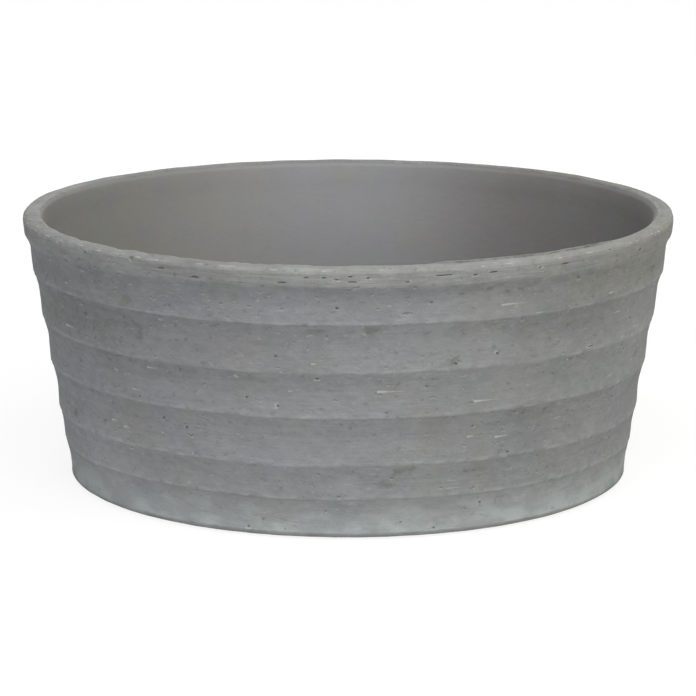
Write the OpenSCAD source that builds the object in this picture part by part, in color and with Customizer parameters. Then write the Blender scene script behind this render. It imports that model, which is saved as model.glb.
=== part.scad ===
// Ribbed stone bowl planter, with the plug of its drain hole and the pads that it stands on.
// Everything turns about Z, and Z = 0 is the surface under the pads.

/* [Bowl] */
// Outside diameter at the top edge of the lip, before the edge is rounded
bowl_d = 400; // [350:5:460]
// Height of the stone, from its foot to the top of its lip
bowl_h = 164; // [140:2:200]
// Diameter at the foot
foot_d = 345; // [300:5:370]
// Thickness of the wall, measured level from the crests of the bands
wall_t = 11.5; // [9:0.5:16]
// Thickness of the floor, measured from the foot
floor_t = 14; // [10:0.5:20]
// Radius of the inside corner between floor and wall
floor_corner_r = 22; // [8:1:40]

/* [Turned bands] */
// Heights of the bands from the foot up to the lip, in proportion to one another
band_rhythm = [24, 20, 29, 27, 29, 23]; // [15:1:40]
// How far the cove of each band is cut in from the cone that the crests lie on
cove_depths = [1.0, 1.0, 2.0, 1.8, 1.4, 1.0]; // [0.5:0.1:2.5]
// How far down each band its cove is deepest, as a share of the band
cove_places = [0.39, 0.44, 0.40, 0.36, 0.27, 0.25]; // [0.2:0.01:0.6]
// Radius of the coves
cove_r = 45; // [20:1:80]
// How far the crest over each band stands out from the cone, the last being the lower edge of the lip
crest_stands = [0, 0, 0, 0, 0.4, 1.4]; // [0:0.1:2]
// Radius that rounds the crests
crest_r = 2; // [0.5:0.5:5]

/* [Lip] */
// Height of the rolled lip
lip_h = 12.5; // [9:0.5:18]
// Radius of the lower edge of the lip
lip_under_r = 5; // [1:0.5:8]
// Radius of the outer top edge of the lip
lip_outer_r = 4.3; // [1:0.1:6]
// Radius of the inner top edge of the lip
lip_inner_r = 3.5; // [1:0.1:6]

/* [Foot] */
// Width of the ring that the foot ends in
foot_ring_w = 24; // [16:1:40]
// Depth of the recess inside the foot ring
foot_recess = 2; // [1:0.5:4]
// Radius of the edges of the foot ring
foot_edge_r = 2; // [0.5:0.5:4]

/* [Pads] */
// Number of pads
pad_count = 4; // [3:1:6]
// Diameter of a pad
pad_d = 20; // [14:1:30]
// How far the pads hold the foot off the ground
pad_stand = 1; // [0.5:0.1:3]
// Gap between a pad and the foot ring
pad_gap = 5; // [2:1:15]
// Radius of the lower edge of a pad
pad_edge_r = 0.8; // [0.2:0.1:1.2]

/* [Drain] */
// Diameter of the drain hole
drain_d = 22; // [16:1:32]
// Radius that rounds both ends of the drain hole
drain_edge_r = 0.8; // [0.2:0.1:1.5]
// Clearance between the hole and the ribs of the plug, on the radius
plug_fit = 0.05; // [0.02:0.01:0.1]
// Depth of the grooves between the ribs of the plug
plug_groove = 1.2; // [0.6:0.1:2]
// Number of ribs on the plug
plug_ribs = 3; // [2:1:4]
// How far the plug ends short of the underside
plug_short = 0.5; // [0.2:0.1:2]
// How far the flange of the plug reaches past the edge of the hole
flange_reach = 7; // [4:1:12]
// Thickness of the flange
flange_t = 3; // [2:0.5:5]
// Radius of the top edge of the flange
flange_edge_r = 1.5; // [0.5:0.1:2]
// Width of the grip tab
tab_w = 16; // [12:1:18]
// Thickness of the grip tab
tab_t = 5; // [3:0.5:8]
// Height of the grip tab over the flange
tab_h = 13; // [10:1:20]
// Number of ridges across each face of the grip tab
ridge_count = 3; // [1:1:3]
// Distance from one ridge to the next
ridge_pitch = 2.4; // [1.5:0.1:3]
// Length of a ridge across the tab
ridge_w = 11; // [8:0.5:11.5]
// Thickness of a ridge
ridge_t = 0.9; // [0.5:0.1:1.2]
// How far a ridge stands out from the face
ridge_h = 0.6; // [0.3:0.1:1]

/* [Hidden] */
bowl_r = bowl_d / 2;
foot_r = foot_d / 2;
drain_r = drain_d / 2;
lip_z = bowl_h - lip_h;
ring_inner_r = foot_r - foot_ring_w;
pad_t = foot_recess + pad_stand;
pad_place_r = ring_inner_r - pad_gap - pad_d / 2;
plug_r = drain_r - plug_fit;
plug_core_r = plug_r - plug_groove;
plug_l = floor_t - foot_recess - plug_short;
flange_r = drain_r + flange_reach;
rib_share = 0.8;    // part of the pitch of the plug's ribs that a rib takes up
rib_slope = 0.25;   // part of a rib that each of its slopes takes up
tab_root = flange_t / 2;
arc_step = 6;       // degrees of an arc that each side of an outline stands for
side_share = 0.48;  // most of a side that the arc at one of its ends may take
smooth = 96;        // sides of everything round
stone_colour = [0.56, 0.57, 0.57];
rubber_colour = [0.16, 0.16, 0.17];

function unit(v) = v / norm(v);
function sum_of(v, n) = n <= 0 ? 0 : v[n - 1] + sum_of(v, n - 1);

// Points of an arc of the given radius in the corner p between a and b, smaller where the sides are short
function corner_arc(a, p, b, radius) =
    let (
        to_a = unit(a - p),
        to_b = unit(b - p),
        half = acos(to_a * to_b) / 2,
        reach = min(radius / tan(half), side_share * norm(a - p), side_share * norm(b - p)),
        r = reach * tan(half),
        centre = p + unit(to_a + to_b) * r / sin(half),
        first = p + to_a * reach - centre,
        start = atan2(first.y, first.x),
        turn = (180 - 2 * half) * sign(to_b.x * to_a.y - to_b.y * to_a.x),
        steps = max(2, ceil(abs(turn) / arc_step))
    )
    [for (k = [0:steps]) centre + r * [cos(start + turn * k / steps), sin(start + turn * k / steps)]];

// Closed outline through corners given as [x, y, radius]
function rounded(corners) =
    let (n = len(corners), at = function (k) [corners[k].x, corners[k].y])
    [for (k = [0:n - 1])
        each corners[k][2] == 0
            ? [at(k)]
            : corner_arc(at((k + n - 1) % n), at(k), at((k + 1) % n), corners[k][2])];

// The cone from the foot to the lip that the crests lie on
function crest_cone(z) = foot_r + (bowl_r - foot_r) * z / bowl_h;
function inner_wall(z) = crest_cone(z) - wall_t;
function band_top(i) = lip_z * sum_of(band_rhythm, i + 1) / sum_of(band_rhythm, len(band_rhythm));

// One band: its cove, then the crest over it, where the last crest is the lower edge of the lip
function band_corners(i) =
    let (
        last = i == len(band_rhythm) - 1,
        top = band_top(i),
        cove_z = top - (top - (i == 0 ? 0 : band_top(i - 1))) * cove_places[i]
    )
    [
        [crest_cone(cove_z) - cove_depths[i], cove_z, cove_r],
        [crest_cone(top) + crest_stands[i], top, last ? lip_under_r : crest_r]
    ];

function bowl_corners() = concat(
    [[foot_r, 0, foot_edge_r]],
    [for (i = [0:len(band_rhythm) - 1]) each band_corners(i)],
    [
        [bowl_r, bowl_h, lip_outer_r],
        [inner_wall(bowl_h), bowl_h, lip_inner_r],
        [inner_wall(floor_t), floor_t, floor_corner_r],
        [drain_r, floor_t, drain_edge_r],
        [drain_r, foot_recess, drain_edge_r],
        [ring_inner_r, foot_recess, foot_recess / 2],
        [ring_inner_r, 0, foot_edge_r / 2]
    ]
);

// Stone body, one piece from foot to lip
module bowl() {
    color(stone_colour)
        translate([0, 0, pad_stand])
            rotate_extrude($fn = smooth)
                polygon(rounded(bowl_corners()));
}

// One rib of the plug, as steps out from its core and back
function rib_corners(z, h) = [
    [plug_core_r, z, 0],
    [plug_r, z + h * rib_slope, 0],
    [plug_r, z + h * (1 - rib_slope), 0],
    [plug_core_r, z + h, 0]
];

// Flange on the floor of the bowl, with the ribbed shank that hangs in the hole
module plug_body() {
    pitch = plug_l / plug_ribs;
    rotate_extrude($fn = smooth)
        polygon(rounded(concat(
            [[0, -plug_l, 0]],
            [for (k = [0:plug_ribs - 1]) each rib_corners(-plug_l + k * pitch, pitch * rib_share)],
            [
                [plug_core_r, 0, 0],
                [flange_r, 0, 0],
                [flange_r, flange_t, flange_edge_r],
                [0, flange_t, 0]
            ]
        )));
}

// Flat tab with a round top, upright on the flange, with ridges across both faces
module grip_tab() {
    round_r = tab_w / 2;
    straight_h = flange_t + tab_h - round_r;
    rotate([90, 0, 0])
        linear_extrude(tab_t, center = true) {
            translate([-round_r, tab_root])
                square([tab_w, straight_h - tab_root]);
            translate([0, straight_h])
                circle(round_r, $fn = smooth);
        }
    for (k = [0:ridge_count - 1])
        translate([0, 0, straight_h + (k - (ridge_count - 1) / 2) * ridge_pitch])
            cube([ridge_w, tab_t + 2 * ridge_h, ridge_t], center = true);
}

// Rubber plug, seated on the floor round the drain hole
module drain_plug() {
    color(rubber_colour)
        translate([0, 0, pad_stand + floor_t]) {
            plug_body();
            grip_tab();
        }
}

// Rubber pad, stuck in the recess under the floor
module pad(i) {
    color(rubber_colour)
        rotate([0, 0, 360 / pad_count * (i - 0.5)])
            translate([pad_place_r, 0, 0])
                rotate_extrude($fn = smooth)
                    polygon(rounded([
                        [0, 0, 0],
                        [pad_d / 2, 0, pad_edge_r],
                        [pad_d / 2, pad_t, 0],
                        [0, pad_t, 0]
                    ]));
}

bowl();
drain_plug();
for (i = [1:pad_count])
    pad(i);
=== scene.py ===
"""Dresses the stone bowl planter in turned stone, with a rubber plug and rubber pads.

Sizes are in millimetres, heights on the stone are measured from its foot, and a piece's mesh is made
metres just before it becomes an object. Azimuths are in degrees: 0 faces the camera and 90 is the right.
"""

import math
import random

import bmesh
import bpy
from mathutils import Matrix, Vector, kdtree, noise


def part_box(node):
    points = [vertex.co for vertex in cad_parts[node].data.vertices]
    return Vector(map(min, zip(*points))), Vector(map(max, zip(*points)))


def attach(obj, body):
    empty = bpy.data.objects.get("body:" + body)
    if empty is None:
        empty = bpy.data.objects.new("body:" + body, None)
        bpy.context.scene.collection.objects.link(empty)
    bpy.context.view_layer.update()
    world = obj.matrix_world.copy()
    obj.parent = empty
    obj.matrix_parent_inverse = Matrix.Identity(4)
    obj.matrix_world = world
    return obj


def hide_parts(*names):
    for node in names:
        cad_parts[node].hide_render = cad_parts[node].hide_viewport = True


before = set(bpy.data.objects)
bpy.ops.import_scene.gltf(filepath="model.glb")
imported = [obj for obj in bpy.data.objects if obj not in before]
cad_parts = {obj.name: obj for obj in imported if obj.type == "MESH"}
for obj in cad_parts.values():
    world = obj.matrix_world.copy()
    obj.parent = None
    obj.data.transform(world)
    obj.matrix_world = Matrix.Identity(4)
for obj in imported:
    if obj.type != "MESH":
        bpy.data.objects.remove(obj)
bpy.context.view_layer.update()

MM = 0.001

# The photo's camera
CAMERA_DISTANCE = 1750.0
CAMERA_HEIGHT = 449.7
CAMERA_PITCH = 12.09
CAMERA_LENS = 148.8
CAMERA_SENSOR = 36.0
CAMERA_CLIP = 50.0

# Sizes of the stone as its solid has them, apart from edges that are crisper or softer
STONE_LOW, STONE_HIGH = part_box("bowl")
FOOT_Z = STONE_LOW.z / MM
BOWL_H = STONE_HIGH.z / MM - FOOT_Z
BOWL_R = 200.0
FOOT_R = 172.5
WALL_T = 11.5
FLOOR_T = 14.0
FLOOR_CORNER_R = 22.0
FOOT_RING_W = 24.0
FOOT_RECESS = 2.0
FOOT_EDGE_R = 2.0
LIP_H = 12.5
LIP_UNDER_R = 3.5
LIP_OUTER_R = 4.3
LIP_INNER_R = 4.5
DRAIN_R = 11.0
DRAIN_EDGE_R = 0.8

# The turned bands, from the foot up
BAND_RHYTHM = [24, 20, 29, 27, 29, 23]
COVE_DEPTHS = [1.0, 1.0, 2.0, 1.8, 1.4, 1.0]
COVE_PLACES = [0.39, 0.44, 0.40, 0.36, 0.27, 0.25]
CREST_STANDS = [0.0, 0.0, 0.0, 0.0, 0.4, 1.4]
COVE_R = 45.0
CREST_R = 0.6
UNDERCUT = 0.45
LIP_Z = BOWL_H - LIP_H
BAND_TOPS = [LIP_Z * sum(BAND_RHYTHM[: i + 1]) / sum(BAND_RHYTHM) for i in range(len(BAND_RHYTHM))]

# Mesh of the stone: a wedge is spun, then copied round. The outline is walked in short steps to find
# where rows of faces start, and the rows are sorted in classes of height.
WEDGES = 8
WEDGE_STEPS = 64
COLUMNS = WEDGES * WEDGE_STEPS
COLUMN_ANGLE = 2 * math.pi / COLUMNS
ARC_STEP = math.radians(9)
SIDE_SHARE = 0.48
ROW_CLASS = 0.2
OUTLINE_STEP = 0.15
# Distances between rows of faces, where off crest and down the wall are added
ROW_GAPS = {
    "top": 0.6, "lip": 1.0, "crest": 0.75, "off crest": 1.45, "inner lip": 0.85, "high wall": 3.0,
    "down the wall": 5.0, "floor": 9.0, "drain": 2.5, "foot ring": 2.0, "underside": 14.0,
}

# How far the lip sags at the front, how far its lower edge sags more there, how far its top is worn down,
# and the width of the thin ledge that is left of its inner edge
LIP_DIP = 1.6
LIP_UNDER_DIP = 0.9
LIP_WORN = 1.0
LEDGE_W = 3.6
# Heights over which the sag sets in, and azimuths over which the ledge starts, ends and may start again
SAG_HEIGHTS = (118, 150)
LEDGE_START = (13, 17)
LEDGE_END = (46, 56)
LEDGE_BEHIND = (60, 75)
# How far the outside lies within its outline, so that it stays inside the solid as it wanders
OUTSIDE_EASE = 0.55
# Width and depth of the turning rings on the floor inside
FLOOR_RING_W = 19.0
FLOOR_RING_DEPTH = 0.12

# Lumps of the hand-turned stone, as (how far they reach, their size, seed), with the step from one seed's
# slice of noise to the next, and the factor that makes noise reach about 1
LUMP_STEP = (7.3, 3.1, 5.7)
NOISE_GAIN = 1.6
LUMPS = {
    "ledge": (1, 60, 2), "lip": (0.25, 26, 3), "lip crumbs": (1, 5, 4), "ragged crest": (1, 6, 5),
    "band": (0.5, 80, 6), "crest": (0.2, 21, 7), "wall": (0.2, 60, 8), "crest wear": (1, 15, 9),
    "surface": (0.12, 12, 10), "grit": (0.08, 5, 11), "foot": (0.08, 9, 12), "inside": (0.25, 45, 13),
    "undercut": (0.5, 18, 14), "rubbed": (0.7, 34, 19), "rubbed edge": (0.6, 6, 20),
}

# Pits along the front of the lip, as (azimuth, height, length)
LIP_PITS = [
    (-49, 158, 3), (-31, 156, 4), (-25, 153, 4), (-10, 153, 4), (-7, 155.5, 3), (-4, 155.5, 2),
    (-2, 155, 2.5), (0.5, 156.8, 2.5), (0.8, 154, 4), (3.5, 155.5, 2.5), (9.3, 153.5, 3), (15.6, 156, 10),
    (20.6, 155, 3), (24.3, 156, 4), (33, 156, 2), (38.5, 156, 5), (49, 160, 2),
]
# Pits in the front of the bands, as (azimuth, height, length)
BAND_PITS = [
    (-35, 130, 2), (-1.5, 138, 3), (14, 141, 2), (-45, 98, 2), (-40.5, 76, 2), (-52.5, 54, 3),
    (-35.5, 65, 2), (-30.5, 61.5, 2), (-45, 41, 3), (-43.5, 42.5, 2), (-29.5, 46, 2), (-12.5, 108, 3),
    (-5, 96.2, 3), (-12.5, 79.5, 2), (-18, 82.5, 2), (14, 91, 2), (6.5, 75.5, 2), (-1.5, 25.5, 2),
    (26.5, 107.5, 2), (43.5, 97, 4), (48.5, 101.5, 4), (31.5, 70, 2), (30.5, 46.5, 2), (22.5, 65, 2),
    (61, 42, 2), (25.5, 17, 2), (16.5, 3.5, 3), (-19.5, 4.5, 2), (18.5, 104, 2),
]
# Pale marks that the tool dragged in the front of the bands, as (azimuth of the middle, height, length)
DRAG_MARKS = [
    (-59, 108, 16), (-40.5, 80, 8), (-49, 56.5, 7), (-45, 54, 6), (-36.5, 93, 10), (-31.5, 44, 8),
    (-5, 104.5, 5), (-9.5, 87, 5), (8, 88.9, 18), (29, 135, 18), (34.5, 129, 9), (25, 79, 16),
    (30, 55.5, 13), (22.5, 58, 6), (52.5, 132, 11),
]
# Olive smears on the front, as (azimuth, height, length, width)
SMEARS = [
    (-40.3, 134, 6, 3.4), (-38.6, 113.5, 4.2, 8.5), (-5.5, 124, 9, 3), (3.5, 124.5, 9, 5),
    (18.5, 104.5, 6, 5), (10, 40, 9, 4), (7, 32.5, 10, 4),
]
# Broad patches that make the outside and the lip paler or darker, as (azimuth, height, length, width, how
# much paler)
BROAD_PATCHES = [
    (-54, 122, 90, 34, -0.19), (-60, 28, 55, 24, 0.2), (41, 127, 62, 22, -0.15),
    (34, 60, 36, 24, -0.15), (68, 100, 40, 22, 0.1), (-12, 55, 60, 26, 0.06), (12, 120, 40, 20, 0.05),
    (130, 164, 90, 8, -0.2), (-140, 164, 90, 8, -0.06), (180, 164, 60, 8, -0.09),
    (-27, 160, 42, 7, -0.13), (2, 155.5, 24, 4, 0.07),
]
# Crumbs of paler stone along the top edge of the lip, as (azimuth, height, length)
LIP_CRUMBS = [
    (-104, 162.5, 5), (-96, 162.5, 4), (-88, 162, 4), (-81, 162.5, 5), (-75, 162, 4), (-68, 162, 5),
    (-62, 162, 7), (-56.5, 162.5, 4), (-51, 162, 8), (-45, 161.5, 5), (-41, 161.5, 3), (-36, 162, 5),
    (-33, 161, 3), (-24, 162, 4), (-19.5, 161.5, 9), (-11.5, 161, 4), (-4, 161, 2), (5, 161.5, 3),
    (22, 160, 3), (27, 161.5, 4), (37, 160, 2), (44, 161, 4), (55, 161.5, 3),
]
# Marks of each kind that chance puts on the sides and the back, as (count, lowest, highest, lengths)
CHANCE_SEED = 41
CHANCE_LIP_PITS = (34, 153, 157.5, (2, 3, 4, 5, 7))
CHANCE_BAND_PITS = (85, 3, 148, (2, 2, 2, 3, 4))
CHANCE_DRAG_MARKS = (34, 10, 145, (5, 7, 9, 12, 17))
CHANCE_SMEARS = (12, 20, 140, (6, 8, 10))
CHANCE_SMEAR_WIDTH = 4
CHANCE_LIP_CRUMBS = (30, 160, 162.5, (2, 3, 4, 7))
# Azimuth that the front reaches to on each side, with marks of its own
FRONT_REACH = 58
# How each kind of mark is cut, as (how far it is set in as a share of its row, how far out, raggedness)
LIP_PIT_CUT = (0.16, -0.5, 0.4)
WIDE_PIT_CUT = (0.26, -0.6, 0.6)
NARROW_PIT_CUT = (0.3, -0.5, 0.6)
DRAG_CUT = (0.28, 0.12, 0.2)
LIP_CRUMB_CUT = (0.1, 0.15, 0.5)
# How strongly a mark shows, and how pale the stone beside it is, each from and to
MARK_STRENGTH = (0.85, 1.1)
PALE_BESIDE = (-0.5, 0.9)

# Rubber plug. A rib takes up a share of the pitch, and its slopes end and start at shares of the rib.
# Tips of ribs and rims of the groove round the flange have one rounding, other small edges another.
PLUG_R = 10.95
PLUG_CORE_R = 9.75
PLUG_L = 11.5
PLUG_RIBS = 3
RIB_SHARE = 0.8
RIB_SLOPES = (0.35, 0.75)
TIP_R = 0.4
FLANGE_R = 18.0
FLANGE_T = 3.0
FLANGE_EDGE_R = 1.5
GROOVE_R = 13.4
GROOVE_W = 2.0
GROOVE_FLOOR_W = 1.2
GROOVE_DEPTH = 0.6
SMALL_EDGE_R = 0.3
TAB_W = 16.0
TAB_T = 5.0
TAB_H = 13.0
TAB_EDGE_R = 1.2
RIDGES = 3
RIDGE_PITCH = 2.4
RIDGE_W = 11.0
RIDGE_T = 0.9
RIDGE_H = 0.6
RIDGE_EDGE_R = 0.35
PLUG_SIDES = 96
TAB_SIDES = 64
# Grain of the skin over the plug's parts, and how many times it is smoothed
MOULD_GRAIN = 0.35
MOULD_ROUNDS = 3

# Rubber pads
PAD_R = 10.0
PAD_T = 3.0
PAD_PLACE_R = 133.5
PAD_EDGE_R = 0.8
PAD_TOP_R = 0.2
PAD_GROOVES = [3.0, 5.4, 7.8]
PAD_GROOVE_W = 0.9
PAD_GROOVE_DEPTH = 0.5
PAD_GROOVE_R = 0.15
PAD_SIDES = 72

# Materials: the step from one seed's pattern to the next, and the height of the tide line inside
PATTERN_STEP = (13.7, 5.3, 9.1)
TIDE_Z = 56.0

# Studio, in metres and watts, with lamps as (name, azimuth, elevation, size, power, colour if not white)
LAMP_DISTANCE = 2.2
LAMPS = [
    ("key", 0, 60, 1.0, 24),
    ("right_key", 45, 55, 1.0, 8.4, (1, 0.975, 0.9)),
    ("right_fill", 60, 28, 0.8, 6.4, (1, 0.975, 0.88)),
    ("front_fill", 0, 14, 0.6, 4.8),
    ("left_fill", -60, 22, 0.8, 4.5, (0.97, 0.99, 1)),
    ("back_fill", 165, 42, 1.2, 9),
    ("back_low", 180, 12, 1.0, 10),
]
# Greys that light the bowl, and that are seen
WORLD_LIGHT = 0.08
WORLD_SEEN = 0.97
FLOOR_LIGHT = 0.88
FLOOR_SHADE = 0.17
# The floor's glow grows from one distance to another, as (start, end, glow at the start, glow at the end)
FLOOR_GLOW = (0.5, 2.5, 0.87, 0.97)
FLOOR_HALF = 6.0
FLOOR_DROP = 0.0001


def smoothstep(low, high, value):
    share = min(1.0, max(0.0, (value - low) / (high - low)))
    return share * share * (3 - 2 * share)


def hump(value, centre, width):
    return math.exp(-(((value - centre) / width) ** 2))


def tone(red, green, blue):
    """Linear colour of a tone given as it looks on a screen, 0 to 255."""
    levels = [c / 255 for c in (red, green, blue)]
    return tuple(c / 12.92 if c <= 0.04045 else ((c + 0.055) / 1.055) ** 2.4 for c in levels)


def crest_cone(z):
    return FOOT_R + (BOWL_R - FOOT_R) * z / BOWL_H


def inner_wall(z):
    return crest_cone(z) - WALL_T


def in_outer_half(r, z):
    return r > crest_cone(z) - WALL_T / 2


def stands_outside(r, z):
    return r > crest_cone(z) - 4


def on_stone(azimuth, z):
    """Place on the cone of the crests, at an azimuth and a height over the foot."""
    a, r = math.radians(azimuth), crest_cone(z)
    return Vector((r * math.sin(a), -r * math.cos(a), z + FOOT_Z))


def crest_distance(z):
    return min(abs(z - top) for top in BAND_TOPS)


def undercut(z):
    """How far the tool cut in right under a crest."""
    below = [top - z for top in BAND_TOPS if top > z]
    return smoothstep(0, 0.9, below[0]) * math.exp(-below[0] / 4) if below else 0


def corner_arc(before, corner, after, radius):
    """Points of the arc that rounds a corner of an outline, smaller where its sides are short."""
    to_before, to_after = (before - corner).normalized(), (after - corner).normalized()
    half = math.acos(to_before.dot(to_after)) / 2
    reach = min(
        radius / math.tan(half),
        SIDE_SHARE * (before - corner).length,
        SIDE_SHARE * (after - corner).length,
    )
    true_radius = reach * math.tan(half)
    centre = corner + (to_before + to_after).normalized() * true_radius / math.sin(half)
    first = corner + to_before * reach - centre
    start = math.atan2(first.y, first.x)
    way = math.copysign(1, to_after.x * to_before.y - to_after.y * to_before.x)
    turn = (math.pi - 2 * half) * way
    steps = max(2, math.ceil(abs(turn) / ARC_STEP))
    angles = [start + turn * k / steps for k in range(steps + 1)]
    return [centre + true_radius * Vector((math.cos(a), math.sin(a))) for a in angles]


def rounded(corners):
    """Outline through corners given as (radius from the axis, height, rounding)."""
    outline = []
    count = len(corners)
    for k, (x, y, rounding) in enumerate(corners):
        before, after = (Vector(corners[(k + step) % count][:2]) for step in (-1, 1))
        corner = Vector((x, y))
        outline += corner_arc(before, corner, after, rounding) if rounding else [corner]
    return outline


def turned(outline, wedges, wedge_steps, closed=True):
    """A bmesh spun about Z from an outline of (radius, height)."""
    bm = bmesh.new()
    chain = [bm.verts.new((p.x, 0, p.y)) for p in outline]
    ends = chain[1:] + chain[:1] if closed else chain[1:]
    for a, b in zip(chain, ends):
        bm.edges.new((a, b))
    wedge = 2 * math.pi / wedges
    axis = {"cent": (0, 0, 0), "axis": (0, 0, 1)}
    bmesh.ops.spin(bm, geom=bm.verts[:] + bm.edges[:], angle=wedge, steps=wedge_steps, **axis)
    whole, rest = bm.verts[:] + bm.edges[:] + bm.faces[:], wedges - 1
    bmesh.ops.spin(bm, geom=whole, angle=wedge * rest, steps=rest, use_duplicate=True, **axis)
    bmesh.ops.remove_doubles(bm, verts=bm.verts, dist=0.001)
    bmesh.ops.recalc_face_normals(bm, faces=bm.faces)
    return bm


def mesh_of(bm, name):
    """A mesh made from a bmesh, which is done with then."""
    mesh = bpy.data.meshes.new(name)
    bm.to_mesh(mesh)
    bm.free()
    return mesh


def add_object(name, data):
    new = bpy.data.objects.new(name, data)
    bpy.context.scene.collection.objects.link(new)
    return new


def add_piece(name, bm, finish, body, slot, *nodes):
    """Makes a shape in millimetres the piece that stands for the nodes, riding on a body."""
    bmesh.ops.scale(bm, vec=(MM, MM, MM), verts=bm.verts)
    for face in bm.faces:
        face.smooth = True
    mesh = mesh_of(bm, name)
    mesh.materials.append(finish)
    piece = add_object(name, mesh)
    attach(piece, body)
    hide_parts(*nodes)


def bowl_corners():
    corners = [(FOOT_R, 0, FOOT_EDGE_R)]
    for i, top in enumerate(BAND_TOPS):
        last = i == len(BAND_TOPS) - 1
        below = BAND_TOPS[i - 1] if i else 0
        cove_z = top - (top - below) * COVE_PLACES[i]
        corners.append((crest_cone(cove_z) - COVE_DEPTHS[i], cove_z, COVE_R))
        corners.append((crest_cone(top) + CREST_STANDS[i], top, LIP_UNDER_R if last else CREST_R))
    ring_inner_r = FOOT_R - FOOT_RING_W
    return corners + [
        (BOWL_R, BOWL_H, LIP_OUTER_R),
        (inner_wall(BOWL_H), BOWL_H, LIP_INNER_R),
        (inner_wall(FLOOR_T), FLOOR_T, FLOOR_CORNER_R),
        (DRAIN_R, FLOOR_T, DRAIN_EDGE_R),
        (DRAIN_R, FOOT_RECESS, DRAIN_EDGE_R),
        (ring_inner_r, FOOT_RECESS, FOOT_RECESS / 2),
        (ring_inner_r, 0, FOOT_EDGE_R / 2),
    ]


def outsideness(r, z):
    """1 on the outside and the lip, 0 inside the bowl and under it."""
    if in_outer_half(r, z):
        return smoothstep(0.3, 3, z) if r > FOOT_R - 3 else 0
    return smoothstep(LIP_Z - 6, BOWL_H - 3, z)


def roughness(r, z):
    """1 where the stone shows its grain, which the inner side of the lip doesn't."""
    if in_outer_half(r, z):
        return outsideness(r, z)
    return smoothstep(BOWL_H - 2.2, BOWL_H - 0.2, z)


def row_gap(r, z):
    """Distance between rows of faces, shorter where the stone shows more."""
    if z > BOWL_H - 1.2:
        return ROW_GAPS["top"]
    if in_outer_half(r, z) and r > FOOT_R - 2.5:
        off_crest = ROW_GAPS["off crest"] * smoothstep(1.0, 6.0, crest_distance(z))
        return ROW_GAPS["lip"] if z > LIP_Z - 2 else ROW_GAPS["crest"] + off_crest
    if z > BOWL_H - 6:
        return ROW_GAPS["inner lip"]
    if z < FOOT_RECESS + 0.1:
        on_ring = r > FOOT_R - 4 or abs(r - FOOT_R + FOOT_RING_W) < 2
        return ROW_GAPS["foot ring"] if on_ring else ROW_GAPS["underside"]
    if r < DRAIN_R + 2:
        return ROW_GAPS["drain"]
    if r < inner_wall(FLOOR_T) - FLOOR_CORNER_R:
        return ROW_GAPS["floor"]
    return ROW_GAPS["high wall"] + ROW_GAPS["down the wall"] * smoothstep(8, 40, BOWL_H - z)


def with_rows(outline):
    """The same outline with a point for each row of faces."""
    kept, run = [outline[0]], 0.0
    for start, end in zip(outline, outline[1:] + outline[:1]):
        pieces = max(1, math.ceil((end - start).length / OUTLINE_STEP))
        for k in range(1, pieces + 1):
            point = start.lerp(end, k / pieces)
            run += (end - start).length / pieces / row_gap(*point)
            if run >= 1:
                kept.append(point)
                run -= 1
    return kept


def lumps(kind, x, y, z):
    """How far lumps of a kind reach up or down at a place, each kind on a slice of noise of its own."""
    reach, size, seed = LUMPS[kind]
    apart = Vector([seed * step for step in LUMP_STEP])
    return reach * NOISE_GAIN * noise.noise(Vector((x, y, z)) / size + apart)


def lip_relief(r, z, front, side, place):
    """How far the top of the lip lies under its outline, with the ledge along its inner edge."""
    x, y, _ = place
    ledge = ledge_share(x, y, math.degrees(math.atan2(side, front)))
    inner = 1 - smoothstep(LEDGE_W, LEDGE_W + 0.7, r - inner_wall(BOWL_H))
    worn = LIP_WORN * (0.15 + 0.85 * smoothstep(-0.1, 0.5, front)) * (1 - ledge * inner)
    crumbled = 0.05 + smoothstep(-0.2, 0.3, front) * (0.1 + 0.4 * smoothstep(0, 0.25, -side))
    uneven = lumps("lip", x, y, 0) + crumbled * lumps("lip crumbs", x, y, 0)
    return smoothstep(BOWL_H - 7, BOWL_H - 1, z) * (worn + 0.3 + uneven)


def outside_relief(r, z, out, place):
    """How far the outside and the lip wander, sag, swell and wear, and how far the tool cut in."""
    x, y, _ = place
    front, side = -out.y, out.x
    free = smoothstep(3, 18, z) * (1 - smoothstep(BOWL_H - 9, BOWL_H - 3, z))
    crest = hump(crest_distance(z), 0, 2.2)
    ragged = lumps("ragged crest", x, y, z)
    wobble = lumps("band", x, y, z * 1.6) + lumps("crest", x, y, z) + 0.26 * crest * ragged
    sag = LIP_DIP * max(0.0, front) ** 1.2 * smoothstep(*SAG_HEIGHTS, z)
    sag += LIP_UNDER_DIP * hump(side, 0.06, 0.1) * hump(z, LIP_Z, 6) * smoothstep(0, 0.5, front)
    swell = lumps("wall", x, y, z) + lumps("surface", x, y, z) + lumps("grit", x, y, z)
    worn = crest * (0.1 + 0.12 * ragged + 0.16 * max(0.0, lumps("crest wear", x, y, z)))
    drop = lip_relief(r, z, front, side, place) + sag
    cut = UNDERCUT * undercut(z) * (1 + lumps("undercut", x, y, z))
    return out * (swell - OUTSIDE_EASE - worn - cut) + Vector((0, 0, free * wobble - drop))


def inside_relief(r, z, out, place):
    """How far the foot, the inside wall and the floor depart, where the floor has broad turning rings."""
    x, y, _ = place
    if z < FOOT_RECESS + 1:
        ring = smoothstep(FOOT_R - FOOT_RING_W, FOOT_R - FOOT_RING_W + 3, r)
        return Vector((0, 0, ring * (0.12 + lumps("foot", x, y, z))))
    settled = smoothstep(DRAIN_R + 9, DRAIN_R + 30, r)
    floor = 1 - smoothstep(FLOOR_T + 2, FLOOR_T + 16, z)
    swell = lumps("inside", x, y, z)
    turning = FLOOR_RING_DEPTH * (math.cos(r * 2 * math.pi / FLOOR_RING_W) - 1)
    return out * swell * (1 - floor) + Vector((0, 0, floor * settled * (turning + swell * 0.6 - 0.25)))


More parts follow.
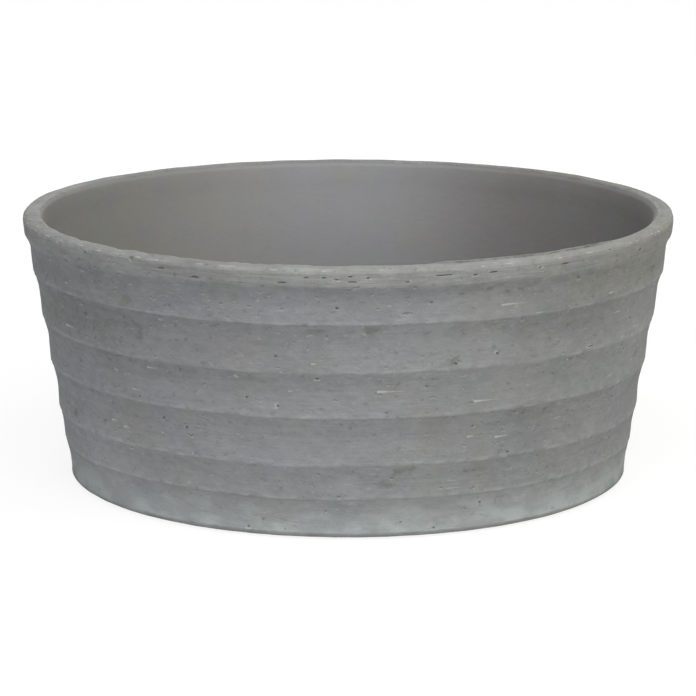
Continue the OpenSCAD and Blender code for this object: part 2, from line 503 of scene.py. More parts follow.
def hand_relief(place):
    """How far the hand-turned stone departs from its outline."""
    r, z = math.hypot(place.x, place.y), place.z
    out = Vector((place.x, place.y, 0)) / max(r, 0.001)
    outside = outsideness(r, z)
    relief = Vector()
    if outside > 0:
        relief += outside_relief(r, z, out, place) * outside
    if outside < 1:
        relief += inside_relief(r, z, out, place) * (1 - outside)
    return relief


def crest_line(x, y, z):
    """1 along the pieces of the crests that are rubbed pale and painted with a thin highlight."""
    over = min(abs(z - top - 0.5) for top in BAND_TOPS)
    rubbed = lumps("rubbed", x, y, z) + lumps("rubbed edge", x, y, z)
    return hump(over, 0, 0.7) * smoothstep(0.1, 0.5, rubbed)


def worn_and_highlit_edge(r, z):
    """1 on the edges that are worn pale and carry a painted highlight: just over each crest, and both top
    edges of the lip.
    """
    above = [z - top for top in BAND_TOPS if z >= top - 0.4]
    crest = math.exp(-above[-1] / 5.5) if above and z < LIP_Z - 2 else 0
    outer_edge = hump(math.hypot(r - BOWL_R + 1.4, z - BOWL_H + 1.4), 0, 2.4)
    inner_edge = hump(math.hypot(r - inner_wall(BOWL_H) - 1.4, z - BOWL_H + 1), 0, 2.2)
    return max(crest, 0.9 * outer_edge, 0.7 * inner_edge)


def shade_and_dirt_share(r, z, ledge):
    """1 right under a crest, where painted shade and some dirt lie, less further down, and as a painted
    shadow in the groove by the ledge.
    """
    if z > LIP_Z:
        groove = hump(r - inner_wall(BOWL_H) - LEDGE_W, 0.7, 0.7) * smoothstep(BOWL_H - 3, BOWL_H - 1, z)
        return 4 * ledge * groove
    below = [top - z for top in BAND_TOPS if top > z]
    return smoothstep(-1, 3.5, below[0]) * math.exp(-below[0] / 6) * (1.3 if len(below) == 1 else 1.1)


def ledge_share(x, y, azimuth):
    """1 where the thin ledge stands along the lip: at the front right, and by chance behind."""
    return max(
        smoothstep(*LEDGE_START, azimuth) * (1 - smoothstep(*LEDGE_END, azimuth)),
        0.4 * smoothstep(0.25, 0.45, lumps("ledge", x, y, 0)) * smoothstep(*LEDGE_BEHIND, abs(azimuth)),
    )


def inside_painted_light(x, z):
    """How much paler the inside wall is painted, as painted light and shade: a painted pool of light in
    the middle and near the lip, painted shade to the right and a little at the far left.
    """
    across = x / BOWL_R
    return (
        hump(across, -0.05, 0.5) * (0.08 + 0.2 * smoothstep(80, 155, z))
        + smoothstep(148, 160, z) * (0.07 + 0.09 * smoothstep(0.2, 0.6, across))
        - 0.2 * smoothstep(0.15, 0.6, across)
        - 0.05 * smoothstep(0.4, 0.8, -across)
    )


def unseen(r, z):
    """1 on the floor and the low wall inside the bowl and on its underside, which are left rougher."""
    return (1 - roughness(r, z)) * (1 - smoothstep(70, 105, z))


def outside_tone(place):
    """How much paler or darker the broad patches make the outside and the lip."""
    total = 0.0
    for azimuth, z, length, width, amount in BROAD_PATCHES:
        away = place - on_stone(azimuth, z)
        along = math.hypot(away.x, away.y) / length
        if along < 2.5:
            total += amount * math.exp(-(along**2) - ((away.z + FOOT_Z) / width) ** 2)
    return total


def chance_marks(count, low, high, lengths):
    """Marks at places that seeded chance gives, away from the front, which has its own."""
    marks = []
    while len(marks) < count:
        azimuth = chance.uniform(-180, 180)
        if abs(azimuth) > FRONT_REACH:
            marks.append((azimuth, chance.uniform(low, high), chance.choice(lengths)))
    return marks


class StoneFaces:
    """Finds runs of faces along the rows that the spin left on the outside of the stone."""

    def __init__(self, bm, nominal):
        self.rows, self.keys, self.taken = {}, {}, set()
        outside = [f for f in bm.faces if all(stands_outside(*nominal[v.index]) for v in f.verts)]
        self.tree = kdtree.KDTree(len(outside))
        self.faces = outside
        for i, face in enumerate(outside):
            centre = face.calc_center_median()
            column = round(math.atan2(centre.x, -centre.y) / COLUMN_ANGLE - 0.5) % COLUMNS
            z = sum(nominal[v.index][1] for v in face.verts) / len(face.verts)
            row = round(z, 2)
            self.rows[row, column] = face
            self.keys[face] = (row, column)
            self.tree.insert(centre, i)
        self.tree.balance()

    def run(self, azimuth, z, length):
        """Faces of one row round a place, or none where another mark already is."""
        _, index, _ = self.tree.find(on_stone(azimuth, z))
        row, middle = self.keys[self.faces[index]]
        count = max(1, round(length / (crest_cone(z) * COLUMN_ANGLE)))
        columns = range(middle - count // 2 - 1, middle - count // 2 + count + 1)
        found = [self.rows.get((row, column % COLUMNS)) for column in columns]
        if None in found or self.taken.intersection(found):
            return []
        self.taken.update(found)
        for face in found:
            self.taken.update(near for edge in face.edges for near in edge.link_faces)
        return found[1:-1]


def shape_mark(run, layer, pale, thinning, fading, ragged):
    """Gives the cut middle of a run an uneven outline that thins along it, and paints it and its edge."""
    inner = {vert for face in run for vert in face.verts}
    strength = chance.uniform(*MARK_STRENGTH)
    centre = sum((vert.co for vert in inner), Vector()) / len(inner)
    along = Vector((-centre.y, centre.x, 0)).normalized()
    half = max(abs((vert.co - centre).dot(along)) for vert in inner)
    high = max(abs(vert.co.z - centre.z) for vert in inner)
    for vert in sorted(inner, key=lambda v: ((v.co - centre).dot(along), v.co.z)):
        share = (vert.co - centre).dot(along) / half
        kept = (thinning(share) if len(run) > 1 else 0.8) * chance.uniform(1 - ragged, 1)
        vert.co.z = centre.z + (vert.co.z - centre.z) * kept + chance.uniform(-0.3, 0.3) * high * kept
        vert.co += along * chance.uniform(-0.25, 0.25) * min(high, half)
        vert[layer] = fading(share) * strength * chance.uniform(0.75, 1)
        if layer != pale:
            for edge in vert.link_edges:
                near = edge.other_vert(vert)
                if near not in inner:
                    near[pale] = max(near[pale], chance.uniform(*PALE_BESIDE))


def cut_marks(bm, runs, cut, layer, pale, thinning, fading):
    """Sinks or raises the middle of each run of faces, set in by a share of the height of its row."""
    inset, depth, ragged = cut
    by_height = {}
    for run in runs:
        height = min(edge.calc_length() for edge in run[0].edges)
        by_height.setdefault(max(1, round(height / ROW_CLASS)), []).append(run)
    for height, alike in sorted(by_height.items()):
        faces = [face for run in alike for face in run]
        width = inset * height * ROW_CLASS
        bmesh.ops.inset_region(bm, faces=faces, thickness=width, depth=depth, use_even_offset=True)
    for run in runs:
        shape_mark(run, layer, pale, thinning, fading, ragged)


def mark_stone(bm, nominal, pit, drag):
    """Cuts the pits, crumbs and drag marks, each with the outline and the fading of its kind along it."""
    faces = StoneFaces(bm, nominal)

    def runs(marks):
        return [run for run in (faces.run(*mark) for mark in marks) if run]

    def lens(share):
        return 1 - 0.6 * share * share

    def comet(share):
        return 1 - 0.42 * (share + 1)

    def even(share):
        return 1

    def paling(share):
        return 1 - 0.25 * (share + 1)

    lip_pits = runs(LIP_PITS + chance_marks(*CHANCE_LIP_PITS))
    band_pits = runs(BAND_PITS + chance_marks(*CHANCE_BAND_PITS))
    lip_crumbs = runs(LIP_CRUMBS + chance_marks(*CHANCE_LIP_CRUMBS))
    drags = runs(DRAG_MARKS + chance_marks(*CHANCE_DRAG_MARKS))
    # The pits' layer holds the painted shade inside them.
    cut_marks(bm, lip_pits, LIP_PIT_CUT, pit, drag, lens, even)
    cut_marks(bm, band_pits[::2], NARROW_PIT_CUT, pit, drag, lens, even)
    cut_marks(bm, band_pits[1::2], WIDE_PIT_CUT, pit, drag, lens, even)
    cut_marks(bm, drags, DRAG_CUT, drag, drag, comet, paling)
    cut_marks(bm, lip_crumbs, LIP_CRUMB_CUT, drag, drag, lens, even)


def paint_smears(bm, layer):
    """Marks where the olive smears are."""
    tree = kdtree.KDTree(len(bm.verts))
    for i, vert in enumerate(bm.verts):
        tree.insert(vert.co, i)
    tree.balance()
    bm.verts.ensure_lookup_table()
    chance_smears = [(*mark, CHANCE_SMEAR_WIDTH) for mark in chance_marks(*CHANCE_SMEARS)]
    for azimuth, z, length, width in SMEARS + chance_smears:
        centre = on_stone(azimuth, z)
        for place, index, _ in tree.find_range(centre, 2 * length):
            away = place - centre
            along = math.hypot(away.x, away.y) / length
            vert = bm.verts[index]
            vert[layer] = max(vert[layer], math.exp(-(along**2) - (away.z / width) ** 2))


def stone_bowl(finish):
    bm = turned(with_rows(rounded(bowl_corners())), WEDGES, WEDGE_STEPS)
    for name in ("outer", "deep", "wear", "line", "soil", "lip", "tone", "smear", "pit", "drag"):
        bm.verts.layers.float.new(name)
    outer, deep, wear, line, soil, lip, shade, smear, pit, drag = bm.verts.layers.float.values()
    bm.verts.index_update()
    nominal = []
    for vert in bm.verts:
        place = vert.co.copy()
        r = math.hypot(place.x, place.y)
        nominal.append((r, place.z))
        vert[outer] = roughness(r, place.z)
        vert[deep] = unseen(r, place.z)
        # Worn edges and painted highlights on the lip are strongest at the front and at both ends.
        toward_front = 0.3 + 0.7 * smoothstep(-0.3, 0.4, -place.y / r) if place.z > LIP_Z else 1
        end = smoothstep(0.55, 0.85, abs(place.x) / r) * smoothstep(BOWL_H - 5, BOWL_H - 2, place.z)
        vert[wear] = max(vert[outer], end) * worn_and_highlit_edge(r, place.z) * max(toward_front, end)
        ledge = ledge_share(place.x, place.y, math.degrees(math.atan2(place.x, -place.y)))
        # Painted shade with some dirt under each crest, and a painted shadow in the groove by the ledge.
        vert[soil] = vert[outer] * shade_and_dirt_share(r, place.z, ledge)
        vert[lip] = smoothstep(LIP_Z - 0.5, LIP_Z + 1, place.z) * vert[outer]
        vert[line] = vert[outer] * crest_line(place.x, place.y, place.z)
        # The inside wall takes painted light and shade, and the outside and the lip take the broad paler
        # and darker patches.
        lip_share = smoothstep(BOWL_H - 2.5, BOWL_H - 0.3, place.z)
        inside_share = 0 if in_outer_half(r, place.z) else 1 - lip_share
        inside, outside = inside_painted_light(place.x, place.z), outside_tone(place)
        vert[shade] = inside * inside_share + outside * (1 - inside_share)
        vert.co = place + hand_relief(place) + Vector((0, 0, FOOT_Z))
    paint_smears(bm, smear)
    mark_stone(bm, nominal, pit, drag)
    add_piece("stone_bowl", bm, finish, "bowl", "stone", "bowl")


def plug_corners():
    corners = [(0, -PLUG_L, 0)]
    pitch = PLUG_L / PLUG_RIBS
    for k in range(PLUG_RIBS):
        z, rib = -PLUG_L + k * pitch, RIB_SHARE * pitch
        corners += [
            (PLUG_CORE_R, z, SMALL_EDGE_R),
            (PLUG_R, z + RIB_SLOPES[0] * rib, TIP_R),
            (PLUG_R, z + RIB_SLOPES[1] * rib, SMALL_EDGE_R),
            (PLUG_CORE_R, z + rib, SMALL_EDGE_R),
        ]
    half, floor_half = GROOVE_W / 2, GROOVE_FLOOR_W / 2
    return corners + [
        (PLUG_CORE_R, 0, 0),
        (FLANGE_R, 0, SMALL_EDGE_R),
        (FLANGE_R, FLANGE_T, FLANGE_EDGE_R),
        (GROOVE_R + half, FLANGE_T, TIP_R),
        (GROOVE_R + floor_half, FLANGE_T - GROOVE_DEPTH, SMALL_EDGE_R),
        (GROOVE_R - floor_half, FLANGE_T - GROOVE_DEPTH, SMALL_EDGE_R),
        (GROOVE_R - half, FLANGE_T, TIP_R),
        (0, FLANGE_T, 0),
    ]


def add_shell(bm, other):
    """Copies another bmesh into this one."""
    mesh = mesh_of(other, "shell")
    bm.from_mesh(mesh)
    bpy.data.meshes.remove(mesh)


def raise_by(bm, height):
    bmesh.ops.translate(bm, verts=bm.verts, vec=(0, 0, height))


def round_edges(bm, edges, radius, segments):
    settings = {"offset_type": "OFFSET", "profile": 0.5, "affect": "EDGES", "material": -1}
    bmesh.ops.bevel(bm, geom=edges, offset=radius, segments=segments, **settings)


def grip_tab():
    """Flat tab with a round top and soft edges, from the middle of the flange up."""
    bm = bmesh.new()
    straight = TAB_H - TAB_W / 2 + FLANGE_T / 2
    bmesh.ops.create_circle(bm, cap_ends=True, segments=TAB_SIDES, radius=TAB_W / 2)
    for vert in bm.verts:
        if vert.co.y < -0.01:
            vert.co.y = -straight
    out = bmesh.ops.extrude_face_region(bm, geom=bm.faces[:])["geom"]
    lifted = [v for v in out if isinstance(v, bmesh.types.BMVert)]
    bmesh.ops.translate(bm, verts=lifted, vec=(0, 0, TAB_T))
    raise_by(bm, -TAB_T / 2)
    rims = [e for e in bm.edges if abs(e.verts[0].co.z - e.verts[1].co.z) < 0.01]
    round_edges(bm, rims, TAB_EDGE_R, 4)
    bmesh.ops.transform(bm, matrix=Matrix.Rotation(math.pi / 2, 4, "X"), verts=bm.verts)
    raise_by(bm, straight + FLANGE_T / 2)
    bmesh.ops.recalc_face_normals(bm, faces=bm.faces)
    return bm


def grip_ridge(z):
    """One bar with rounded ends across both faces of the tab."""
    bm = bmesh.new()
    bmesh.ops.create_cube(bm, size=1)
    bmesh.ops.scale(bm, vec=(RIDGE_W, TAB_T + 2 * RIDGE_H, RIDGE_T), verts=bm.verts)
    round_edges(bm, bm.edges[:], RIDGE_EDGE_R, 2)
    raise_by(bm, z)
    return bm


def moulded(bm):
    """One skin over overlapping shells, as if they were moulded together, with its edges eased."""
    mesh = mesh_of(bm, "mould")
    mould = add_object("mould", mesh)
    skin = mould.modifiers.new("skin", "REMESH")
    skin.mode = "VOXEL"
    skin.voxel_size = MOULD_GRAIN
    graph = bpy.context.evaluated_depsgraph_get()
    skinned = bpy.data.meshes.new_from_object(mould.evaluated_get(graph))
    cast = bmesh.new()
    cast.from_mesh(skinned)
    bpy.data.objects.remove(mould)
    bpy.data.meshes.remove(mesh)
    bpy.data.meshes.remove(skinned)
    every_way = {"use_axis_x": True, "use_axis_y": True, "use_axis_z": True}
    for _ in range(MOULD_ROUNDS):
        bmesh.ops.smooth_vert(cast, verts=cast.verts, factor=0.5, **every_way)
    return cast


def rubber_plug(finish):
    shells = turned(rounded(plug_corners()), 1, PLUG_SIDES, closed=False)
    add_shell(shells, grip_tab())
    straight = FLANGE_T + TAB_H - TAB_W / 2
    for k in range(RIDGES):
        add_shell(shells, grip_ridge(straight + (k - (RIDGES - 1) / 2) * RIDGE_PITCH))
    bm = moulded(shells)
    raise_by(bm, FOOT_Z + FLOOR_T)
    add_piece("rubber_plug", bm, finish, "drain_plug", "rubber", "drain_plug")


def pad_corners():
    corners = [(0, 0, 0)]
    for r in PAD_GROOVES:
        half = PAD_GROOVE_W / 2
        corners += [
            (r - half, 0, PAD_GROOVE_R),
            (r - half / 2, PAD_GROOVE_DEPTH, PAD_GROOVE_R),
            (r + half / 2, PAD_GROOVE_DEPTH, PAD_GROOVE_R),
            (r + half, 0, PAD_GROOVE_R),
        ]
    return corners + [(PAD_R, 0, PAD_EDGE_R), (PAD_R, PAD_T, PAD_TOP_R), (0, PAD_T, 0)]


def rubber_pad(number, finish):
    bm = turned(rounded(pad_corners()), 1, PAD_SIDES, closed=False)
    angle = math.radians(90 * number - 45)
    place = (PAD_PLACE_R * math.cos(angle), PAD_PLACE_R * math.sin(angle), 0)
    bmesh.ops.translate(bm, verts=bm.verts, vec=place)
    add_piece(f"rubber_pad_{number}", bm, finish, "bowl", "rubber", f"pad_{number}")


class Finish:
    """A material wired by plain calls, with sizes in millimetres and patterns on Object coordinates."""

    def __init__(self, name, roughness, specular):
        self.material = bpy.data.materials.new(name)
        self.material.use_nodes = True
        self.tree = self.material.node_tree
        self.shader = self.tree.nodes["Principled BSDF"]
        self.shader.inputs["Roughness"].default_value = roughness
        self.shader.inputs["Specular IOR Level"].default_value = specular
        self.coordinates = self.tree.nodes.new("ShaderNodeTexCoord").outputs["Object"]
        self.across, _, self.height = self.node("ShaderNodeSeparateXYZ", Vector=self.coordinates).outputs

    def node(self, kind, settings=(), **inputs):
        """A new node with settings and inputs, which go by names, or by i0 for the first and so on."""
        node = self.tree.nodes.new(kind)
        for name, value in dict(settings).items():
            setattr(node, name, value)
        for name, value in inputs.items():
            socket = node.inputs[int(name[1:]) if name[1:].isdigit() else name]
            if isinstance(value, bpy.types.NodeSocket):
                self.tree.links.new(value, socket)
            elif isinstance(value, tuple) and len(value) == 3 and len(socket.default_value) == 4:
                socket.default_value = (*value, 1)
            else:
                socket.default_value = value
        return node

    def node_to(self, socket, name):
        self.tree.links.new(socket, self.shader.inputs[name])

    def attribute(self, name):
        return self.node("ShaderNodeAttribute", {"attribute_name": name}).outputs["Fac"]

    def maths(self, operation, a, b=0.0):
        return self.node("ShaderNodeMath", {"operation": operation}, i0=a, i1=b).outputs[0]

    def chained(self, operation, first, *rest):
        for value in rest:
            first = self.maths(operation, first, value)
        return first

    def total(self, *values):
        return self.chained("ADD", *values)

    def product(self, *values):
        return self.chained("MULTIPLY", *values)

    def most(self, *values):
        return self.chained("MAXIMUM", *values)

    def swing(self, value, reach):
        """A value of 0 to 1 made to swing about 0."""
        return self.product(self.total(value, -0.5), reach)

    def between(self, value, low, high, start=0.0, end=1.0):
        """A value made start at low and end at high, smoothly."""
        settings = {"interpolation_type": "SMOOTHSTEP"}
        inputs = {"i0": value, "i1": low, "i2": high, "i3": start, "i4": end}
        return self.node("ShaderNodeMapRange", settings, **inputs).outputs[0]

    def scaled(self, colour, factor):
        settings = {"operation": "SCALE"}
        return self.node("ShaderNodeVectorMath", settings, i0=colour, Scale=factor).outputs[0]

    def layered(self, colour, *layers):
        """A colour with others laid over it, each given as (share, colour)."""
        for share, over in layers:
            settings = {"data_type": "RGBA", "blend_type": "MIX"}
            colour = self.node("ShaderNodeMix", settings, i0=share, i6=colour, i7=over).outputs[2]
        return colour

    def place(self, size, stretch=(1, 1, 1), seed=0, lift=0.0):
        """Coordinates of a pattern whose lumps are about a size, moved up by a lift."""
        scale = tuple(1 / (size * MM * share) for share in stretch)
        x, y, z = (seed * step for step in PATTERN_STEP)
        moved = (x, y, z - lift / (size * stretch[2]))
        settings = {"Vector": self.coordinates, "Scale": scale, "Location": moved}
        return self.node("ShaderNodeMapping", **settings).outputs[0]

    def grain(self, size, stretch=(1, 1, 1), seed=0, detail=2.0, lift=0.0):
        """Noise from 0 to 1 whose lumps are about a size."""
        place = self.place(size, stretch, seed, lift)
        return self.node("ShaderNodeTexNoise", Vector=place, Scale=1.0, Detail=detail).outputs[0]

    def spots(self, size, stretch, seed, reach, share, lift=0.0):
        """Up to 1 in small ragged spots, one in a share of the cells of a size, and 0 elsewhere."""
        place = self.place(size, stretch, seed, lift)
        ragged = self.node("ShaderNodeTexNoise", Vector=place, Scale=4.0, Detail=2.0).outputs["Color"]
        pull = {"operation": "MULTIPLY_ADD"}
        pulled = self.node("ShaderNodeVectorMath", pull, i0=ragged, i1=(0.5, 0.5, 0.5), i2=place)
        cells = self.node("ShaderNodeTexVoronoi", Vector=pulled.outputs[0], Scale=1.0)
        kept, smaller, _ = self.node("ShaderNodeSeparateColor", Color=cells.outputs["Color"]).outputs
        strength = self.between(kept, 1 - share, 1, 0.3, 1)
        away = self.product(cells.outputs["Distance"], self.between(smaller, 0, 1, 1, 2.5))
        spot = self.between(away, reach, reach * 0.45)
        return self.product(strength, self.maths("GREATER_THAN", kept, 1 - share), spot)

    def rings(self, size, seed):
        """Noise from 0 to 1 in rings about Z, which wander a little, as a turning tool leaves them."""
        flat = {"operation": "MULTIPLY"}
        level = self.node("ShaderNodeVectorMath", flat, i0=self.coordinates, i1=(1, 1, 0)).outputs[0]
        radius = self.node("ShaderNodeVectorMath", {"operation": "LENGTH"}, i0=level).outputs[1]
        run = self.total(radius, self.height, self.swing(self.grain(60, seed=seed), 6 * MM))
        place = self.maths("DIVIDE", run, size * MM)
        one_way = {"noise_dimensions": "1D"}
        return self.node("ShaderNodeTexNoise", one_way, W=place, Scale=1.0, Detail=3.0).outputs[0]

    def bumped(self, height):
        """Bumps the surface by a height in millimetres."""
        bump = self.node("ShaderNodeBump", Height=height, Distance=MM, Strength=1.0)
        self.node_to(bump.outputs[0], "Normal")


def plain_stone(f, outer, lip):
    """Grey of the stone, warmer to the right outside, partly as a painted tint of the warm light from
    that side, with clouds of bluish, tan, olive, violet and greenish grey.
    """
    outside = f.layered(
        tone(144.5, 146.5, 148.7),
        # Warmer to the right outside, partly a painted tint of the warm light from that side.
        (f.between(f.across, 20 * MM, 130 * MM), tone(145.5, 146.5, 145)),
        (f.between(f.grain(48, seed=1, detail=3), 0.42, 0.62, 0, 0.5), tone(143, 146, 150)),
        (lip, tone(149, 150.5, 149.5)),
    )
    inside = f.layered(
        tone(145.5, 144.5, 140.5),
        (f.between(f.across, -130 * MM, -30 * MM), tone(143.5, 143, 146.5)),
        (f.between(f.across, 20 * MM, 120 * MM), tone(145, 142, 141.5)),
    )
    # The tan tint under the lip to the right is partly a painted tint of the warm light from that side.
    to_right = f.between(f.across, 60 * MM, 160 * MM)
    under_lip = f.between(f.height, 118 * MM, 142 * MM)
    return f.layered(
        inside,
        (outer, outside),
        (f.product(to_right, under_lip, outer, 0.8), tone(143, 143, 137)),
        (f.between(f.grain(34, seed=2, detail=3), 0.5, 0.7, 0, 0.45), tone(144, 144.5, 140)),
        (f.between(f.grain(22, seed=3), 0.52, 0.68, 0, 0.45), tone(144, 142.5, 146)),
        (f.between(f.grain(26, seed=4), 0.52, 0.68, 0, 0.4), tone(140.5, 146, 145)),
    )


def stone_shade(f, lip, deep, rough, streak, layers, rings):
    """How much paler than its plain grey the stone is, with its wear and painted highlights, its dirt and
    painted shade under the crests, painted light and shade inside, and its broad patches.
    """
    broad = f.swing(f.grain(17, (1.6, 1.6, 0.8), seed=5), 0.26)
    mottle = f.swing(f.grain(5, (1.4, 1.4, 0.8), seed=6, detail=3), 0.34)
    fine = f.swing(f.grain(1.1, (1.4, 1.4, 0.9), seed=7), 0.15)
    smudges = f.between(f.grain(3.4, (1.3, 1.3, 0.8), seed=13, detail=3), 0.6, 0.72, 0, -0.2)
    chalk = f.between(f.grain(3, (1.5, 1.5, 0.7), seed=14, detail=3), 0.62, 0.74, 0, 0.16)
    lip_layers = f.product(f.swing(layers, 0.45), lip)
    lumpy = f.total(broad, mottle, fine, f.swing(streak, 0.16), smudges, chalk, lip_layers)
    ragged = f.between(f.grain(4.5, (1.6, 1.6, 0.7), seed=17, detail=4), 0.3, 0.7, 0.2, 1.6)
    return f.total(
        f.product(lumpy, rough),
        f.product(f.swing(rings, 0.22), deep),
        # Worn edges with painted highlights over the crests and along the lip.
        f.product(f.attribute("wear"), ragged, 0.15),
        # Thin pale lines along the crests, rubbed stone with a painted highlight.
        f.product(f.attribute("line"), 0.13),
        # Painted shade with some dirt under the crests, and a painted shadow in the ledge's groove.
        f.product(f.attribute("soil"), ragged, -0.09),
        # Painted light and shade on the inside wall, and the broad paler and darker patches outside.
        f.attribute("tone"),
    )


def aged(f, colour, outer, deep):
    """A colour with dust over the foot, and with silt, bloom and a tide line inside the bowl."""
    dusty = f.product(f.between(f.height, 30 * MM, 3 * MM), outer)
    dust = f.between(f.grain(15, (1.3, 1.3, 0.7), seed=15, detail=4), 0.4, 0.62, 0.38, 0.84)
    silty = f.product(f.between(f.height, 30 * MM, 14 * MM), deep)
    silt = f.between(f.grain(14, seed=28, detail=4), 0.4, 0.6, 0.1, 0.5)
    bloom = f.between(f.grain(15, seed=25, detail=5), 0.52, 0.7, 0, 0.22)
    wander = f.swing(f.grain(70, seed=26, detail=3), 30 * MM)
    off_tide = f.maths("ABSOLUTE", f.total(f.height, wander, -TIDE_Z * MM))
    broken = f.between(f.grain(9, seed=27), 0.35, 0.6)
    tide = f.product(f.between(off_tide, 4.5 * MM, 0.5 * MM, 0, 0.35), broken)
    return f.layered(
        colour,
        (f.product(dusty, dust), tone(186, 194, 194)),
        (f.product(silty, silt), tone(119, 117, 110)),
        (f.product(f.most(bloom, tide), deep), tone(171, 171, 165)),
    )


def small_marks(f, open_stone):
    """Pits, nicks, the grits under the nicks, and crumbs, too small to be cut, each from 0 to 1."""
    clusters = f.between(f.grain(26, (1.3, 1.3, 0.7), seed=19, detail=3), 0.42, 0.6, 0.15, 1)
    nick_lumps = (2.3, (1.5, 1.5, 0.75), 20, 1)
    nicks = f.product(f.between(f.grain(*nick_lumps), 0.7, 0.77), clusters, open_stone)
    grits = f.product(f.between(f.grain(*nick_lumps, lift=-1.1), 0.66, 0.74), clusters, open_stone)
    pit_cells = (7, (1.5, 1.5, 0.9), 9, 0.17, 0.3)
    pits = f.product(f.spots(*pit_cells), open_stone)
    crumbs = f.most(
        f.spots(8.5, (1.7, 1.7, 0.6), 10, 0.18, 0.5),
        f.spots(13, (2.4, 2.4, 0.35), 11, 0.2, 0.4),
        f.spots(*pit_cells, lift=-1.0),
    )
    return pits, nicks, grits, f.product(crumbs, open_stone)


def marked(f, colour, pits, nicks, grits, crumbs):
    """A colour with the smears, the small marks, and the marks that are cut in the mesh."""
    smear = f.attribute("smear")
    frayed = f.total(smear, f.swing(f.grain(3, (1.5, 1.5, 0.8), seed=18, detail=3), 1.4))
    smeared = f.product(f.between(frayed, 0.45, 0.95, 0, 0.5), f.between(smear, 0.05, 0.2))
    return f.layered(
        colour,
        (smeared, tone(112, 110, 96)),
        (f.product(grits, 0.45), tone(176, 178, 175)),
        # The dark nicks and small pits are painted shade in their dents.
        (f.product(nicks, 0.4), tone(104, 104, 102)),
        (f.product(crumbs, 0.6), tone(184, 186, 183)),
        (f.product(pits, 0.5), tone(92, 92, 89)),
        (f.between(f.attribute("drag"), 0.3, 0.9, 0, 0.85), tone(190, 191, 186)),
        # Painted shade inside the pits that are cut in the mesh.
        (f.between(f.attribute("pit"), 0.2, 0.85, 0, 0.7), tone(80, 79, 76)),
    )


def stone_finish():
    """Grey turned stone: clouds of cooler and warmer grey, streaks, crumbs, pits, drags and dust."""
    f = Finish("turned_stone", 0.92, 0.25)
    outer, lip, deep = (f.attribute(name) for name in ("outer", "lip", "deep"))
    rough = f.most(f.between(outer, 0, 1, 0.24, 1), f.product(deep, 0.75))
    streak = f.grain(2.2, (22, 22, 0.55), seed=8, detail=3)
    layers = f.grain(1.7, (14, 14, 0.6), seed=16, detail=3)
    rings = f.rings(3.2, seed=24)
    pits, nicks, grits, crumbs = small_marks(f, f.most(outer, f.product(deep, 0.8)))

    shade = stone_shade(f, lip, deep, rough, streak, layers, rings)
    colour = f.scaled(plain_stone(f, outer, lip), f.total(shade, 1.0))
    colour = marked(f, aged(f, colour, outer, deep), pits, nicks, grits, crumbs)
    f.node_to(colour, "Base Color")

    grain = f.product(f.grain(3.6, (1.3, 1.3, 0.8), seed=12, detail=4), 0.55)
    lumpy = f.total(grain, f.product(streak, 0.14), f.product(layers, lip, 0.5))
    height = f.total(
        f.product(lumpy, rough),
        f.product(rings, deep, 0.3),
        f.product(f.most(pits, nicks), -0.35),
        f.product(f.most(crumbs, grits), 0.15),
    )
    f.bumped(height)
    return f.material


def rubber_finish():
    """Dark matt rubber with a fine skin and a little stone dust where it lies level."""
    f = Finish("moulded_rubber", 0.62, 0.4)
    normal = f.node("ShaderNodeNewGeometry").outputs["Normal"]
    upward = f.node("ShaderNodeSeparateXYZ", Vector=normal).outputs[2]
    patchy = f.between(f.grain(4, seed=22, detail=4), 0.4, 0.75, 0.05, 0.4)
    dust = f.product(f.between(upward, 0.3, 1.0), patchy)
    colour = f.layered(
        tone(38, 38, 40),
        (f.between(f.grain(9, seed=21, detail=3), 0.4, 0.65), tone(47, 47, 48)),
        (dust, tone(122, 121, 117)),
    )
    f.node_to(colour, "Base Color")
    f.node_to(f.between(dust, 0.0, 0.4, 0.56, 0.85), "Roughness")
    f.bumped(f.product(f.grain(0.7, seed=23, detail=2), 0.04))
    return f.material


def photo_camera():
    data = bpy.data.cameras.new("photo_camera")
    data.sensor_width = CAMERA_SENSOR
    data.lens = CAMERA_LENS
    data.clip_start = CAMERA_CLIP * MM
    camera = add_object("photo_camera", data)
    camera.location = (0, -CAMERA_DISTANCE * MM, CAMERA_HEIGHT * MM)
    camera.rotation_euler = (math.radians(90 - CAMERA_PITCH), 0, 0)
    bpy.context.scene.camera = camera


def grey(level):
    return (level, level, level, 1)


def soft_lamp(name, azimuth, elevation, size, power, colour=(1, 1, 1)):
    """A square area lamp that faces the bowl."""
    data = bpy.data.lights.new(name, "AREA")
    data.color = colour
    data.size = size
    data.energy = power
    lamp = add_object(name, data)
    a, e = math.radians(azimuth), math.radians(elevation)
    way = Vector((math.sin(a) * math.cos(e), -math.cos(a) * math.cos(e), math.sin(e)))
    lamp.location = Vector((0, 0, BOWL_H / 2 * MM)) + way * LAMP_DISTANCE
    lamp.rotation_euler = (-way).to_track_quat("-Z", "Y").to_euler()


def looked_at(tree):
    """1 where the floor or the world is seen, straight or in a reflection, and 0 where it lights."""
    rays = tree.nodes.new("ShaderNodeLightPath").outputs
    share = rays["Is Camera Ray"]
    for name in ("Is Glossy Ray", "Is Transmission Ray"):
        either = tree.nodes.new("ShaderNodeMath")
        either.operation = "MAXIMUM"
        tree.links.new(share, either.inputs[0])
        tree.links.new(rays[name], either.inputs[1])
        share = either.outputs[0]
    return share


def seen_or_lighting(tree, lighting, seen, end):
    """Wires one shader for what is seen and another for what lights the bowl."""
    mix = tree.nodes.new("ShaderNodeMixShader")
    for socket, wire in zip(mix.inputs, (looked_at(tree), lighting.outputs[0], seen.outputs[0])):
        tree.links.new(wire, socket)
    tree.links.new(mix.outputs[0], tree.nodes[end].inputs["Surface"])


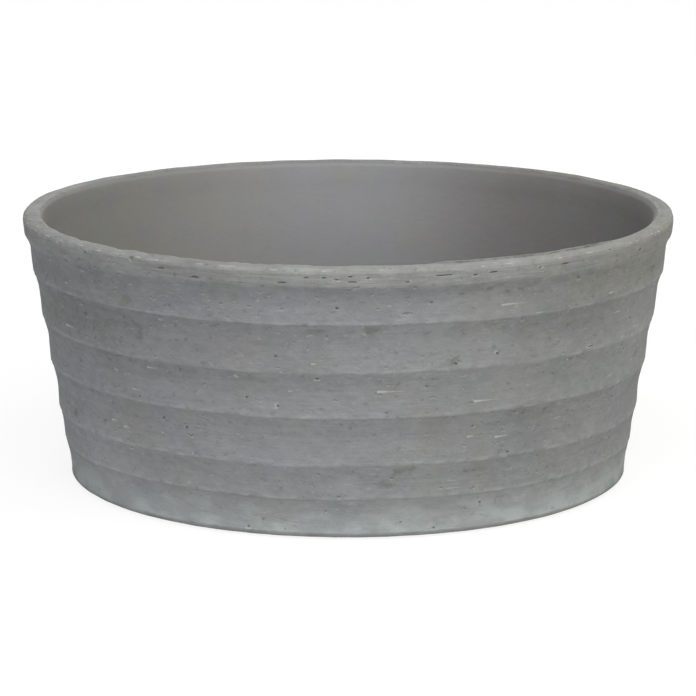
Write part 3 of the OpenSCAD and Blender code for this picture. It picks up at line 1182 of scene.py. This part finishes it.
def floor_finish():
    """Diffuse floor that bounces light, and that is seen near white with the bowl's soft shadow."""
    material = bpy.data.materials.new("pale_floor")
    material.use_nodes = True
    tree = material.node_tree
    tree.nodes.remove(tree.nodes["Principled BSDF"])
    bounce, shade = (tree.nodes.new("ShaderNodeBsdfDiffuse") for _ in range(2))
    bounce.inputs["Color"].default_value = grey(FLOOR_LIGHT)
    shade.inputs["Color"].default_value = grey(FLOOR_SHADE)
    glow = tree.nodes.new("ShaderNodeEmission")
    glow.inputs["Color"].default_value = grey(1)
    seen = tree.nodes.new("ShaderNodeAddShader")
    place = tree.nodes.new("ShaderNodeTexCoord")
    away = tree.nodes.new("ShaderNodeVectorMath")
    away.operation = "LENGTH"
    fade = tree.nodes.new("ShaderNodeMapRange")
    for socket, value in zip(fade.inputs[1:5], FLOOR_GLOW):
        socket.default_value = value
    link = tree.links.new
    link(place.outputs["Object"], away.inputs[0])
    link(away.outputs["Value"], fade.inputs[0])
    link(fade.outputs[0], glow.inputs["Strength"])
    link(shade.outputs[0], seen.inputs[0])
    link(glow.outputs[0], seen.inputs[1])
    seen_or_lighting(tree, bounce, seen, "Material Output")
    return material


def studio_floor():
    bm = bmesh.new()
    bmesh.ops.create_grid(bm, x_segments=1, y_segments=1, size=FLOOR_HALF)
    mesh = mesh_of(bm, "studio_floor")
    mesh.materials.append(floor_finish())
    floor = add_object("studio_floor", mesh)
    floor.location.z = -FLOOR_DROP


def studio_light():
    world = bpy.data.worlds.new("studio")
    bpy.context.scene.world = world
    world.use_nodes = True
    tree = world.node_tree
    lighting, seen = tree.nodes["Background"], tree.nodes.new("ShaderNodeBackground")
    lighting.inputs["Color"].default_value = grey(WORLD_LIGHT)
    seen.inputs["Color"].default_value = grey(WORLD_SEEN)
    seen_or_lighting(tree, lighting, seen, "World Output")
    for lamp in LAMPS:
        soft_lamp(*lamp)


chance = random.Random(CHANCE_SEED)
bpy.context.scene.view_settings.view_transform = "Standard"
photo_camera()
stone_bowl(stone_finish())
rubber = rubber_finish()
rubber_plug(rubber)
for number in (1, 2, 3, 4):
    rubber_pad(number, rubber)
studio_floor()
studio_light()
